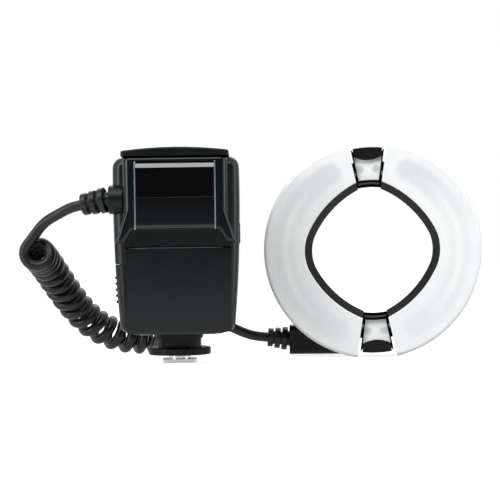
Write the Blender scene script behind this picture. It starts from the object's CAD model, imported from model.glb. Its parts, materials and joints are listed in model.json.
"""Looks of the macro ring flash: camera, cord, finishes, studio.

Everything is in metres in the CAD frame: X right, Y away from the viewer, Z up.
"""

import json
from math import atan2, cos, pi, radians, sin, tan

import bpy
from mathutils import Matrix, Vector


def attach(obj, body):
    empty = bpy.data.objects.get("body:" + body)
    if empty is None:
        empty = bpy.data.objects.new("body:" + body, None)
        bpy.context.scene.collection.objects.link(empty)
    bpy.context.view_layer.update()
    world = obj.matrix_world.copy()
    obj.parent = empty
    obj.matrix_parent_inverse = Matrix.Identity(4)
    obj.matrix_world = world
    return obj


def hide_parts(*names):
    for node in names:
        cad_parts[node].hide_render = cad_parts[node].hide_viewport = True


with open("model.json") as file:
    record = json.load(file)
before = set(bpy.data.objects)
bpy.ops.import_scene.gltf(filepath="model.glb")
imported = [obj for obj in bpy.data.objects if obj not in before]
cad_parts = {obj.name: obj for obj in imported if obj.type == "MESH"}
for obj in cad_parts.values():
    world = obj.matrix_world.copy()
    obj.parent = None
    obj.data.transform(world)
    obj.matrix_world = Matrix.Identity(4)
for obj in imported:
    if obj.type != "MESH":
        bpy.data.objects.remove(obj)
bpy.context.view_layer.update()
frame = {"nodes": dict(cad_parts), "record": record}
nodes = frame["nodes"]
scene = bpy.context.scene
mm = 0.001

# Ring head, as in the part's source
ring_x = 109.4
ring_radius = 61.8
ring_roll = radians(2.0)
ring_z = ring_radius * cos(radians(10.6) - ring_roll)
trough_radius = 49.2
trough_half = 6.6
trough_end = radians(64.0)
rim_radius = 61.0
window_lamp_x = 4.6
window_lamp_z = 45.9
window_lamp_radius = 3.2

# Controller: the lower window's round edge, and the hood's front
window_edge_low, window_edge_high = 74.6, 78.5
window_shade_low, window_shade_high = 80.0, 92.0
hood_back, hood_front = -25.5, -27.0
cell_rate = 1400.0

# Camera: level, in front of the middle of the set
camera_place = Vector((40.0, -850.0, 62.0)) * mm
view_width = 280.0
camera_roll = radians(0.8)
sensor_width = 36.0


def link(thing):
    """Put a new object into the scene."""
    scene.collection.objects.link(thing)
    return thing


camera = link(bpy.data.objects.new("camera", bpy.data.cameras.new("camera")))
camera.location = camera_place
camera.rotation_euler = (pi / 2, camera_roll, 0)
camera.data.sensor_width = sensor_width
camera.data.lens = sensor_width * -camera_place.y / (view_width * mm)
camera.data.clip_start = 0.01
camera.data.clip_end = 20.0
scene.camera = camera


# The cord's route in millimetres: the same points as in the part's source
wire_radius = 2.9
curl_radius = 6.95
curl_turn_count = 15
curl_tail = 8.0
curl_lean = radians(50.0)
points_per_turn = 16
frames_on_curls = 600
guide_steps = 24
left_relief_end = Vector((-51.108, -19.456, 88.073))
left_relief_axis = Vector((-0.9633, 0.2048, -0.1736))
ring_relief_end = Vector((49.798, 48.370, 10.310))
ring_relief_axis = Vector((-cos(radians(4.5)), 0, sin(radians(4.5))))
lead_end_run = 6.6
lead_straight = 9.0
right_first_run = 7.2
left_lead_points = [(-64.0, -16.4, 83.7)]
curl_axis_points = [
    (-77.9, -12.0, 62.0),
    (-77.7, 1.9, 59.9),
    (-75.7, 15.1, 54.8),
    (-71.7, 26.3, 46.4),
    (-66.7, 35.6, 36.8),
    (-60.1, 43.8, 26.8),
    (-50.9, 50.5, 17.6),
    (-38.8, 55.3, 11.9),
    (-24.6, 58.2, 10.2),
    (-10.0, 59.7, 10.2),
]
right_lead_points = [
    (-10.1, 39.8, 17.2),
    (-4.4, 36.5, 20.0),
    (2.5, 34.7, 21.4),
    (9.6, 34.9, 21.6),
    (16.4, 36.6, 20.9),
    (23.0, 39.7, 19.1),
    (29.3, 43.6, 16.4),
    (36.1, 46.9, 13.0),
]


def smooth_curve(name, points, radius=0.0, steps=4):
    """A smooth open curve with those control points, in millimetres, as thick as asked."""
    data = bpy.data.curves.new(name, "CURVE")
    data.dimensions = "3D"
    spline = data.splines.new("NURBS")
    spline.points.add(len(points) - 1)
    for control, point in zip(spline.points, points):
        control.co = (*(Vector(point) * mm), 1.0)
        control.radius = radius * mm
    spline.order_u = 3
    spline.use_endpoint_u = True
    spline.resolution_u = steps
    data.bevel_depth = 1.0 if radius else 0.0
    data.bevel_resolution = 6
    data.use_fill_caps = radius > 0
    return link(bpy.data.objects.new(name, data))


def line_of(curve):
    """The points that a curve runs through, in millimetres."""
    bpy.context.view_layer.update()
    ready = curve.evaluated_get(bpy.context.evaluated_depsgraph_get())
    mesh = bpy.data.meshes.new_from_object(ready)
    found = [vertex.co / mm for vertex in mesh.vertices]
    bpy.data.meshes.remove(mesh)
    return found


def walk(points, stops):
    """Places at those distances along a line of points, with the direction at each."""
    found = []
    leg, passed = 0, 0.0
    lengths = [(b - a).length for a, b in zip(points, points[1:])]
    for stop in stops:
        while leg < len(points) - 2 and passed + lengths[leg] < stop:
            passed += lengths[leg]
            leg += 1
        run = points[leg + 1] - points[leg]
        found.append((points[leg] + run * ((stop - passed) / run.length), run.normalized()))
    return found


def curls():
    """The helix that winds left-handed round the curls' middle line."""
    guide = smooth_curve("curl_guide", curl_axis_points, steps=guide_steps)
    middle_line = line_of(guide)
    bpy.data.objects.remove(guide)
    whole = sum((b - a).length for a, b in zip(middle_line, middle_line[1:]))
    used = whole - curl_tail
    stops = [used * i / frames_on_curls for i in range(frames_on_curls + 1)]
    side = Vector((-cos(curl_lean), 0, sin(curl_lean)))
    sides = []
    for place, ahead in walk(middle_line, stops):
        side = (side - ahead * side.dot(ahead)).normalized()
        sides.append((place, ahead, side))
    place, ahead, side = sides[-1]
    across = side.cross(ahead)
    last = Vector((0, -1, -1))  # where the last turn leaves, seen from the middle line
    last_phase = atan2(last.dot(across), last.dot(side)) % (2 * pi)
    phase_all = 2 * pi * curl_turn_count + last_phase
    count = round(phase_all / (2 * pi) * points_per_turn)
    reach = curl_radius / cos(pi / points_per_turn)
    helix = []
    for i in range(count + 1):
        place, ahead, side = sides[round(frames_on_curls * i / count)]
        phase = phase_all * i / count
        helix.append(place + (side * cos(phase) + side.cross(ahead) * sin(phase)) * reach)
    return helix


helix = curls()
way_in = (helix[1] - helix[0]).normalized()
way_out = (helix[-1] - helix[-2]).normalized()
cord_points = [
    left_relief_end,
    left_relief_end + left_relief_axis * lead_end_run,
    *(Vector(point) for point in left_lead_points),
    helix[0] - way_in * (lead_straight + 2 * wire_radius),
    helix[0] - way_in * 2 * wire_radius,
    *helix,
    helix[-1] + way_out * 2 * wire_radius,
    helix[-1] + way_out * (2 * wire_radius + right_first_run),
    *(Vector(point) for point in right_lead_points),
    ring_relief_end + ring_relief_axis * lead_end_run,
    ring_relief_end,
]
cord = smooth_curve("curly_cord", cord_points, radius=wire_radius)
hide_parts("cord_lead_left", "cord_curls", "cord_lead_right")
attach(cord, "controller")


class Amount:
    """A number that changes over a surface; arithmetic on it adds the nodes."""

    def __init__(self, finish, socket):
        self.finish = finish
        self.socket = socket

    def maths(self, operation, *numbers):
        return self.finish.node("Math", {"operation": operation}, *numbers)

    def __add__(self, other):
        return self.maths("ADD", self, other)

    __radd__ = __add__

    def __sub__(self, other):
        return self.maths("SUBTRACT", self, other)

    def __rsub__(self, other):
        return self.maths("SUBTRACT", other, self)

    def __mul__(self, other):
        return self.maths("MULTIPLY", self, other)

    __rmul__ = __mul__

    def __truediv__(self, other):
        return self.maths("DIVIDE", self, other)

    def __pow__(self, other):
        return self.maths("POWER", self, other)

    def __abs__(self):
        return self.maths("ABSOLUTE", self)

    def __lt__(self, other):
        return self.maths("LESS_THAN", self, other)

    def fade(self, low, high):
        """0 below low, 1 above high, smooth between; low may be the larger."""
        settings = {"interpolation_type": "SMOOTHSTEP"}
        if low > high:
            return self.finish.node("MapRange", settings, self, high, low, 1.0, 0.0)
        return self.finish.node("MapRange", settings, self, low, high, 0.0, 1.0)


class Finish:
    """One surface finish: a surface shader and the nodes that feed it."""

    def __init__(self, name, colour, roughness, **plain):
        self.material = bpy.data.materials.new(name)
        self.material.use_nodes = True
        self.tree = self.material.node_tree
        self.shader = next(n for n in self.tree.nodes if n.type == "BSDF_PRINCIPLED")
        self.feed(self.shader.inputs["Base Color"], colour)
        self.feed(self.shader.inputs["Roughness"], roughness)
        for key, value in plain.items():
            socket = key.replace("_", " ").title().replace("Ior", "IOR")
            self.shader.inputs[socket].default_value = value

    def feed(self, socket, value):
        """Set a socket to a plain value or link it to a node's output."""
        if isinstance(value, Amount):
            self.tree.links.new(value.socket, socket)
        elif isinstance(value, (tuple, list)) and socket.type == "RGBA":
            socket.default_value = (*value[:3], 1.0)
        else:
            socket.default_value = value

    def node(self, kind, settings, *values, output=0, **named):
        """Any node: its settings first, then its sockets in order or by name."""
        made = self.tree.nodes.new("ShaderNode" + kind)
        for key, value in settings.items():
            setattr(made, key, value)
        for socket, value in zip([s for s in made.inputs if s.enabled], values):
            if value is not None:
                self.feed(socket, value)
        for key, value in named.items():
            found = [s for s in made.inputs if s.enabled and s.name == key.replace("_", " ")]
            self.feed(found[0], value)
        ready = [s for s in made.outputs if s.enabled]
        return Amount(self, ready[output] if isinstance(output, int) else made.outputs[output])

    def place(self):
        """The place on the surface, in metres in the CAD frame."""
        return self.node("TexCoord", {}, output="Object")

    def parts(self):
        """X, Y and Z of the place."""
        split = self.node("SeparateXYZ", {}, self.place())
        return [Amount(self, socket) for socket in split.socket.node.outputs]

    def noise(self, size, detail=2.0, rough=0.5):
        """Grain of that size in millimetres, from 0 to 1."""
        return self.node(
            "TexNoise",
            {"noise_dimensions": "3D"},
            Vector=self.place(),
            Scale=1 / (size * mm),
            Detail=detail,
            Roughness=rough,
        )

    def mix(self, share, first, second):
        """A colour between two, by a share that may change over the surface."""
        return self.node("Mix", {"data_type": "RGBA"}, share, first, second)

    def rounded(self, radius):
        """The surface direction with its sharp edges softened."""
        return self.node("Bevel", {"samples": 4}, radius * mm)

    def edges(self, radius, gain=6.0):
        """1 at sharp edges and 0 on plain faces."""
        soft = self.rounded(radius)
        true = self.node("NewGeometry", {}, output="Normal")
        same = self.node("VectorMath", {"operation": "DOT_PRODUCT"}, soft, true, output="Value")
        return ((1 - same) * gain).fade(0.05, 1.0)

    def colour(self, value):
        self.feed(self.shader.inputs["Base Color"], value)
        return self

    def roughness(self, value):
        self.feed(self.shader.inputs["Roughness"], value)
        return self

    def relief(self, height, depth, strength=1.0, soft_edge=0.0):
        """Raise the surface by a height from 0 to 1 times a depth in millimetres."""
        values = {"Strength": strength, "Distance": depth * mm, "Height": height}
        if soft_edge:
            values["Normal"] = self.rounded(soft_edge)
        self.feed(self.shader.inputs["Normal"], self.node("Bump", {}, **values))
        return self


def moulded(
    name, colour, roughness, grain=0.35, depth=0.02, edge=0.25, wear=0.25, specular=0.2
):
    """Moulded plastic: fine even grain, slight cloudiness and polished edges."""
    made = Finish(name, colour, roughness, specular_ior_level=specular)
    cloud = made.noise(14.0, 3.0)
    fine = made.noise(grain, 3.0, 0.6)
    rubbed = made.edges(edge) * wear
    pale = tuple(min(1.0, 2.2 * part + 0.008) for part in colour)
    dim = tuple(0.82 * part for part in colour)
    body = made.mix(cloud.fade(0.3, 0.7), dim, colour)
    made.colour(made.mix(rubbed, body, pale))
    made.roughness(roughness + (cloud - 0.5) * 0.12 + (fine - 0.5) * 0.10 - rubbed * 0.2)
    return made.relief(fine, depth, soft_edge=edge)


def metal(name, colour, roughness, along):
    """Metal with fine drawn lines along one axis (0, 1 or 2)."""
    lines_across, lines_along = 9000.0, 300.0
    made = Finish(name, colour, roughness, metallic=1.0)
    stretch = [lines_across] * 3
    stretch[along] = lines_along
    place = made.node("VectorMath", {"operation": "MULTIPLY"}, made.place(), tuple(stretch))
    lines = made.node("TexNoise", {}, Vector=place, Scale=1.0, Detail=3.0)
    made.roughness(roughness + (lines - 0.5) * 0.10)
    shade = tuple(0.93 * part for part in colour)
    made.colour(made.mix(lines.fade(0.35, 0.65), shade, colour))
    return made.relief(lines, 0.001, soft_edge=0.12)


def polar(made):
    """How far a place lies across and up from the ring's middle, in millimetres."""
    x, _, z = made.parts()
    right, up = (x - ring_x * mm) / mm, (z - ring_z * mm) / mm
    turned_right = right * cos(ring_roll) + up * sin(ring_roll)
    turned_up = up * cos(ring_roll) - right * sin(ring_roll)
    return turned_right, turned_up


def diffuser_finish():
    """White translucent cover: cool white, with the trough behind it showing faintly."""
    made = Finish("diffuser_white", (0.8, 0.83, 0.86), 0.32, coat_weight=0.25, coat_roughness=0.12)
    across, up = polar(made)
    wide, high = abs(across), abs(up)
    radius = (across * across + up * up) ** 0.5
    end_x, end_y = trough_radius * cos(trough_end), trough_radius * sin(trough_end)
    to_end = ((wide - end_x) ** 2 + (high - end_y) ** 2) ** 0.5
    between = high < wide * tan(trough_end)
    away = between * abs(radius - trough_radius) + (1 - between) * to_end
    inside = away.fade(trough_half + 1.6, trough_half - 2.6)
    ends = high.fade(12.0, 44.0)
    topmost = up.fade(-60.0, 60.0)
    tube = away.fade(2.6, 0.6) * (1 - ends)
    cloud = made.noise(9.0, 3.0)
    grey = inside * (0.22 + ends * (0.16 + 0.34 * topmost)) * (0.75 + 0.5 * cloud)
    rim = radius.fade(rim_radius, rim_radius + 0.9)
    patches = made.noise(22.0).fade(0.3, 0.7)
    white = made.mix(patches, (0.785, 0.81, 0.825), (0.835, 0.85, 0.855))
    behind = made.mix(grey, white, (0.60, 0.65, 0.66))
    lit = made.mix(tube * 0.5, behind, (0.92, 0.92, 0.91))
    made.colour(made.mix(rim * 0.7, lit, (0.42, 0.46, 0.48)))
    fine = made.noise(0.3, 2.0)
    made.roughness(0.30 + (fine - 0.5) * 0.08)
    return made.relief(fine, 0.006, soft_edge=0.3)


def window_box_finish():
    """White plate of the modelling windows with two faint lamps behind it."""
    made = Finish("modelling_white", (0.84, 0.86, 0.87), 0.28, coat_weight=0.2)
    across, up = polar(made)
    off_x, off_y = abs(across) - window_lamp_x, abs(up) - window_lamp_z
    bulb = ((off_x**2 + off_y**2) ** 0.5).fade(window_lamp_radius, 1.0)
    cloud = made.noise(6.0)
    white = made.mix(cloud.fade(0.3, 0.7), (0.82, 0.84, 0.85), (0.87, 0.88, 0.885))
    made.colour(made.mix(bulb * 0.8, white, (0.50, 0.53, 0.54)))
    fine = made.noise(0.3, 2.0)
    made.roughness(0.26 + (fine - 0.5) * 0.08)
    return made.relief(fine, 0.005, soft_edge=0.3)


def lower_window_finish():
    """Dark blue-grey window, lighter along its rounded lower edge."""
    made = Finish(
        "lower_window",
        (0.002, 0.003, 0.004),
        0.2,
        specular_ior_level=0.25,
        coat_weight=0.2,
        coat_roughness=0.1,
    )
    _, _, z = made.parts()
    low = z.fade(window_edge_high * mm, window_edge_low * mm)
    soft = z.fade(window_shade_high * mm, window_shade_low * mm)
    deep = made.mix(soft, (0.0022, 0.0038, 0.0052), (0.0040, 0.0062, 0.0076))
    made.colour(made.mix(low, deep, (0.012, 0.017, 0.019)))
    dust = made.noise(1.4, 4.0)
    made.roughness(0.14 + dust * 0.06)
    return made.relief(dust, 0.002, soft_edge=0.2)


def gloss_finish(name, colour, roughness):
    """Polished plastic with the faintest orange peel."""
    made = Finish(
        name,
        colour,
        roughness,
        specular_ior_level=0.5,
        coat_weight=0.5,
        coat_roughness=0.04,
    )
    peel = made.noise(2.2, 2.0)
    made.colour(made.mix(peel.fade(0.3, 0.7), tuple(0.85 * part for part in colour), colour))
    made.roughness(roughness + peel * 0.05)
    return made.relief(peel, 0.003, soft_edge=0.2)


def casing_finish():
    """The casing's plastic: satin on the sides and back, glossier on the hood."""
    made = Finish("casing_black", (0.003, 0.005, 0.006), 0.42, specular_ior_level=0.28)
    _, y, z = made.parts()
    hood = y.fade(hood_back * mm, hood_front * mm)
    cloud = made.noise(16.0, 3.0)
    fine = made.noise(0.32, 3.0, 0.6)
    rubbed = made.edges(0.3) * 0.25
    body = made.mix(cloud.fade(0.3, 0.7), (0.0018, 0.0036, 0.0046), (0.0026, 0.0048, 0.0058))
    made.colour(made.mix(rubbed, body, (0.022, 0.027, 0.030)))
    satin = 0.31 - 0.11 * hood
    made.roughness(satin + (cloud - 0.5) * 0.08 + (fine - 0.5) * 0.07 - rubbed * 0.1)
    return made.relief(fine * (1 - 0.8 * hood), 0.02, soft_edge=0.3)


def cord_finish():
    """The cord's sleeve: smooth dark rubber, a little dusty."""
    made = Finish("cord_black", (0.004, 0.005, 0.006), 0.45, specular_ior_level=0.3)
    cloud = made.noise(7.0, 4.0)
    fine = made.noise(0.5, 3.0)
    dusty = cloud.fade(0.25, 0.75)
    made.colour(made.mix(dusty, (0.0020, 0.0030, 0.0034), (0.0050, 0.0066, 0.0072)))
    made.roughness(0.32 + cloud * 0.10 + (fine - 0.5) * 0.08)
    return made.relief(fine, 0.012)


def glass_finish(name, colour, alpha):
    """Clear glass or plastic, thin enough to see through."""
    made = Finish(name, colour, 0.04, alpha=alpha, ior=1.46)
    smear = made.noise(5.0, 3.0)
    made.roughness(0.03 + smear * 0.06)
    return made


def board_finish():
    """Circuit board: green, with paler tracks under the varnish."""
    made = Finish("board_green", (0.02, 0.11, 0.05), 0.35)
    tracks = made.node(
        "TexVoronoi",
        {"feature": "DISTANCE_TO_EDGE", "distance": "EUCLIDEAN"},
        Vector=made.place(),
        Scale=380.0,
    )
    line = tracks.fade(0.10, 0.04)
    made.colour(made.mix(line, (0.018, 0.10, 0.045), (0.05, 0.20, 0.09)))
    made.roughness(0.32 + line * 0.1)
    return made.relief(line, 0.02)


def display_finish():
    """Grey-green display with a faint cell grid."""
    made = Finish("display_grey", (0.30, 0.34, 0.29), 0.5)
    x, _, z = made.parts()
    across = x.maths("SINE", x * cell_rate)
    rows = z.maths("SINE", z * cell_rate)
    grid = (across * rows).fade(0.2, 0.9)
    made.colour(made.mix(grid, (0.29, 0.33, 0.28), (0.22, 0.25, 0.21)))
    return made.roughness(0.45 + grid * 0.1)


def wrap_finish(name, first, second, split):
    """A printed sleeve: two plain colours meeting at a place along X."""
    made = Finish(name, first, 0.3, coat_weight=0.3)
    x, _, _ = made.parts()
    made.colour(made.mix((x / mm).fade(split - 0.1, split + 0.1), first, second))
    made.roughness(0.26 + made.noise(3.0) * 0.1)
    return made


finishes = {
    "casing_plastic": casing_finish(),
    "cap_plastic": moulded("cap_black", (0.0025, 0.0045, 0.0055), 0.33),
    "door_plastic": moulded("door_black", (0.0022, 0.0040, 0.0050), 0.33),
    "neck_plastic": moulded("neck_black", (0.0010, 0.0016, 0.0020), 0.42, grain=0.5),
    "lock_ring_plastic": moulded("lock_black", (0.0012, 0.0020, 0.0024), 0.4),
    "foot_metal": metal("foot_steel", (0.62, 0.62, 0.61), 0.28, 1),
    "pin_steel": metal("pin_steel", (0.66, 0.66, 0.67), 0.2, 0),
    "contact_brass": metal("contact_brass", (0.80, 0.62, 0.30), 0.25, 2),
    "upper_window": gloss_finish("upper_window", (0.0004, 0.0004, 0.0005), 0.12),
    "lower_window": lower_window_finish(),
    "trim_metal": metal("trim_bright", (0.42, 0.44, 0.46), 0.30, 2),
    "chassis_plastic": moulded("chassis_grey", (0.05, 0.05, 0.055), 0.55),
    "cell_wrap": wrap_finish("cell_wrap", (0.05, 0.16, 0.24), (0.42, 0.40, 0.36), 12.0),
    "board_green": board_finish(),
    "component_black": moulded("component_black", (0.02, 0.02, 0.022), 0.5),
    "capacitor_wrap": wrap_finish("capacitor_wrap", (0.03, 0.03, 0.05), (0.30, 0.30, 0.31), 16.0),
    "screw_steel": metal("screw_steel", (0.16, 0.16, 0.165), 0.35, 1),
    "reflector_metal": metal("reflector_bright", (0.82, 0.82, 0.83), 0.22, 2),
    "tube_glass": glass_finish("tube_glass", (0.90, 0.91, 0.92), 0.45),
    "display_clear": glass_finish("display_clear", (0.05, 0.06, 0.06), 0.25),
    "display_grey": display_finish(),
    "control_rubber": moulded("key_rubber", (0.03, 0.031, 0.033), 0.62, grain=0.5, wear=0.12),
    "cover_rubber": moulded("cover_rubber", (0.014, 0.016, 0.017), 0.6, wear=0.1),
    "sleeve_nylon": moulded("sleeve_nylon", (0.04, 0.04, 0.042), 0.5),
    "cord_rubber": cord_finish(),
    "collar_plastic": moulded("collar_black", (0.0015, 0.0025, 0.0030), 0.4, edge=0.5),
    "ring_plastic": moulded("ring_black", (0.0015, 0.0025, 0.0030), 0.62, specular=0.02),
    "button_plastic": moulded("button_black", (0.0012, 0.0016, 0.0018), 0.4, edge=0.4),
    "diffuser_white": diffuser_finish(),
}
for entry in frame["record"]["subparts"]:
    node = nodes[entry["node"]]
    finish = finishes[entry["material_slot"]]
    node.data.materials.clear()
    node.data.materials.append(finish.material)
window_white = window_box_finish()
nodes["modelling_windows"].data.materials.clear()
nodes["modelling_windows"].data.materials.append(window_white.material)
cord.data.materials.append(finishes["cord_rubber"].material)


# Studio: pale floor, white surroundings, soft lamps and a dark room behind the camera
def sees_background(tree):
    """1 for what the camera sees directly, in a reflection or through glass."""
    path = tree.nodes.new("ShaderNodeLightPath")
    total = path.outputs["Is Camera Ray"]
    for name in ("Is Glossy Ray", "Is Transmission Ray"):
        add = tree.nodes.new("ShaderNodeMath")
        add.use_clamp = True
        tree.links.new(total, add.inputs[0])
        tree.links.new(path.outputs[name], add.inputs[1])
        total = add.outputs[0]
    return total


world_light = 0.55
floor_grey = 0.45
floor_glow = 0.86
room_grey = 0.02
white_card = (1.0, 1.0, 1.0, 1.0)

world = bpy.data.worlds.new("studio")
scene.world = world
world.use_nodes = True
world_tree = world.node_tree
background = world_tree.nodes["Background"]
background.inputs["Color"].default_value = white_card
strength = world_tree.nodes.new("ShaderNodeMapRange")
strength.inputs["To Min"].default_value = world_light
strength.inputs["To Max"].default_value = 1.0
world_tree.links.new(sees_background(world_tree), strength.inputs["Value"])
world_tree.links.new(strength.outputs["Result"], background.inputs["Strength"])


def plain_plane(name, width, depth, place, turn=(0, 0, 0)):
    """A flat rectangle of the studio."""
    data = bpy.data.meshes.new(name)
    w, d = width / 2, depth / 2
    data.from_pydata([(-w, -d, 0), (w, -d, 0), (w, d, 0), (-w, d, 0)], [], [(0, 1, 2, 3)])
    made = link(bpy.data.objects.new(name, data))
    made.location = place
    made.rotation_euler = turn
    return made


just_below = -0.00005
floor = plain_plane("floor", 8.0, 8.0, (0, 0, just_below))
floor_finish = bpy.data.materials.new("floor_white")
floor_finish.use_nodes = True
floor_tree = floor_finish.node_tree
floor_tree.nodes.remove(floor_tree.nodes["Principled BSDF"])
diffuse = floor_tree.nodes.new("ShaderNodeBsdfDiffuse")
diffuse.inputs["Color"].default_value = (floor_grey, floor_grey, floor_grey, 1.0)
glow = floor_tree.nodes.new("ShaderNodeEmission")
glow_strength = floor_tree.nodes.new("ShaderNodeMath")
glow_strength.operation = "MULTIPLY"
glow_strength.inputs[1].default_value = floor_glow
floor_tree.links.new(sees_background(floor_tree), glow_strength.inputs[0])
floor_tree.links.new(glow_strength.outputs[0], glow.inputs["Strength"])
both = floor_tree.nodes.new("ShaderNodeAddShader")
floor_tree.links.new(diffuse.outputs[0], both.inputs[0])
floor_tree.links.new(glow.outputs[0], both.inputs[1])
floor_tree.links.new(both.outputs[0], floor_tree.nodes["Material Output"].inputs["Surface"])
floor.data.materials.append(floor_finish)

room = plain_plane("dark_room", 5.0, 3.2, (0.04, -1.9, 1.55), (pi / 2, 0, 0))
room_finish = bpy.data.materials.new("room_dark")
room_finish.use_nodes = True
room_shader = room_finish.node_tree.nodes["Principled BSDF"]
room_shader.inputs["Base Color"].default_value = (room_grey, room_grey, room_grey, 1.0)
room_shader.inputs["Roughness"].default_value = 1.0
room.data.materials.append(room_finish)
room.visible_camera = False


def lamp(name, place, aim, width, height, power):
    """A soft rectangular lamp at a place, turned to what it lights."""
    data = bpy.data.lights.new(name, "AREA")
    data.shape = "RECTANGLE"
    data.size = width
    data.size_y = height
    data.energy = power
    made = link(bpy.data.objects.new(name, data))
    made.location = place
    made.rotation_euler = (Vector(aim) - Vector(place)).to_track_quat("-Z", "Y").to_euler()
    return made


lamp("key_above", (-0.10, -0.62, 0.95), (0.03, 0, 0.06), 1.3, 0.55, 13.0)
lamp("fill_left", (-0.95, -0.60, 0.35), (0.0, 0, 0.06), 0.35, 0.9, 7.0)
lamp("rim_right", (0.95, -0.20, 0.40), (0.05, 0, 0.06), 0.35, 0.9, 3.4)
lamp("back_above", (0.1, 0.9, 0.9), (0.05, 0, 0.06), 1.0, 0.5, 5.0)

scene.view_settings.view_transform = "Standard"

bpy.context.view_layer.update()
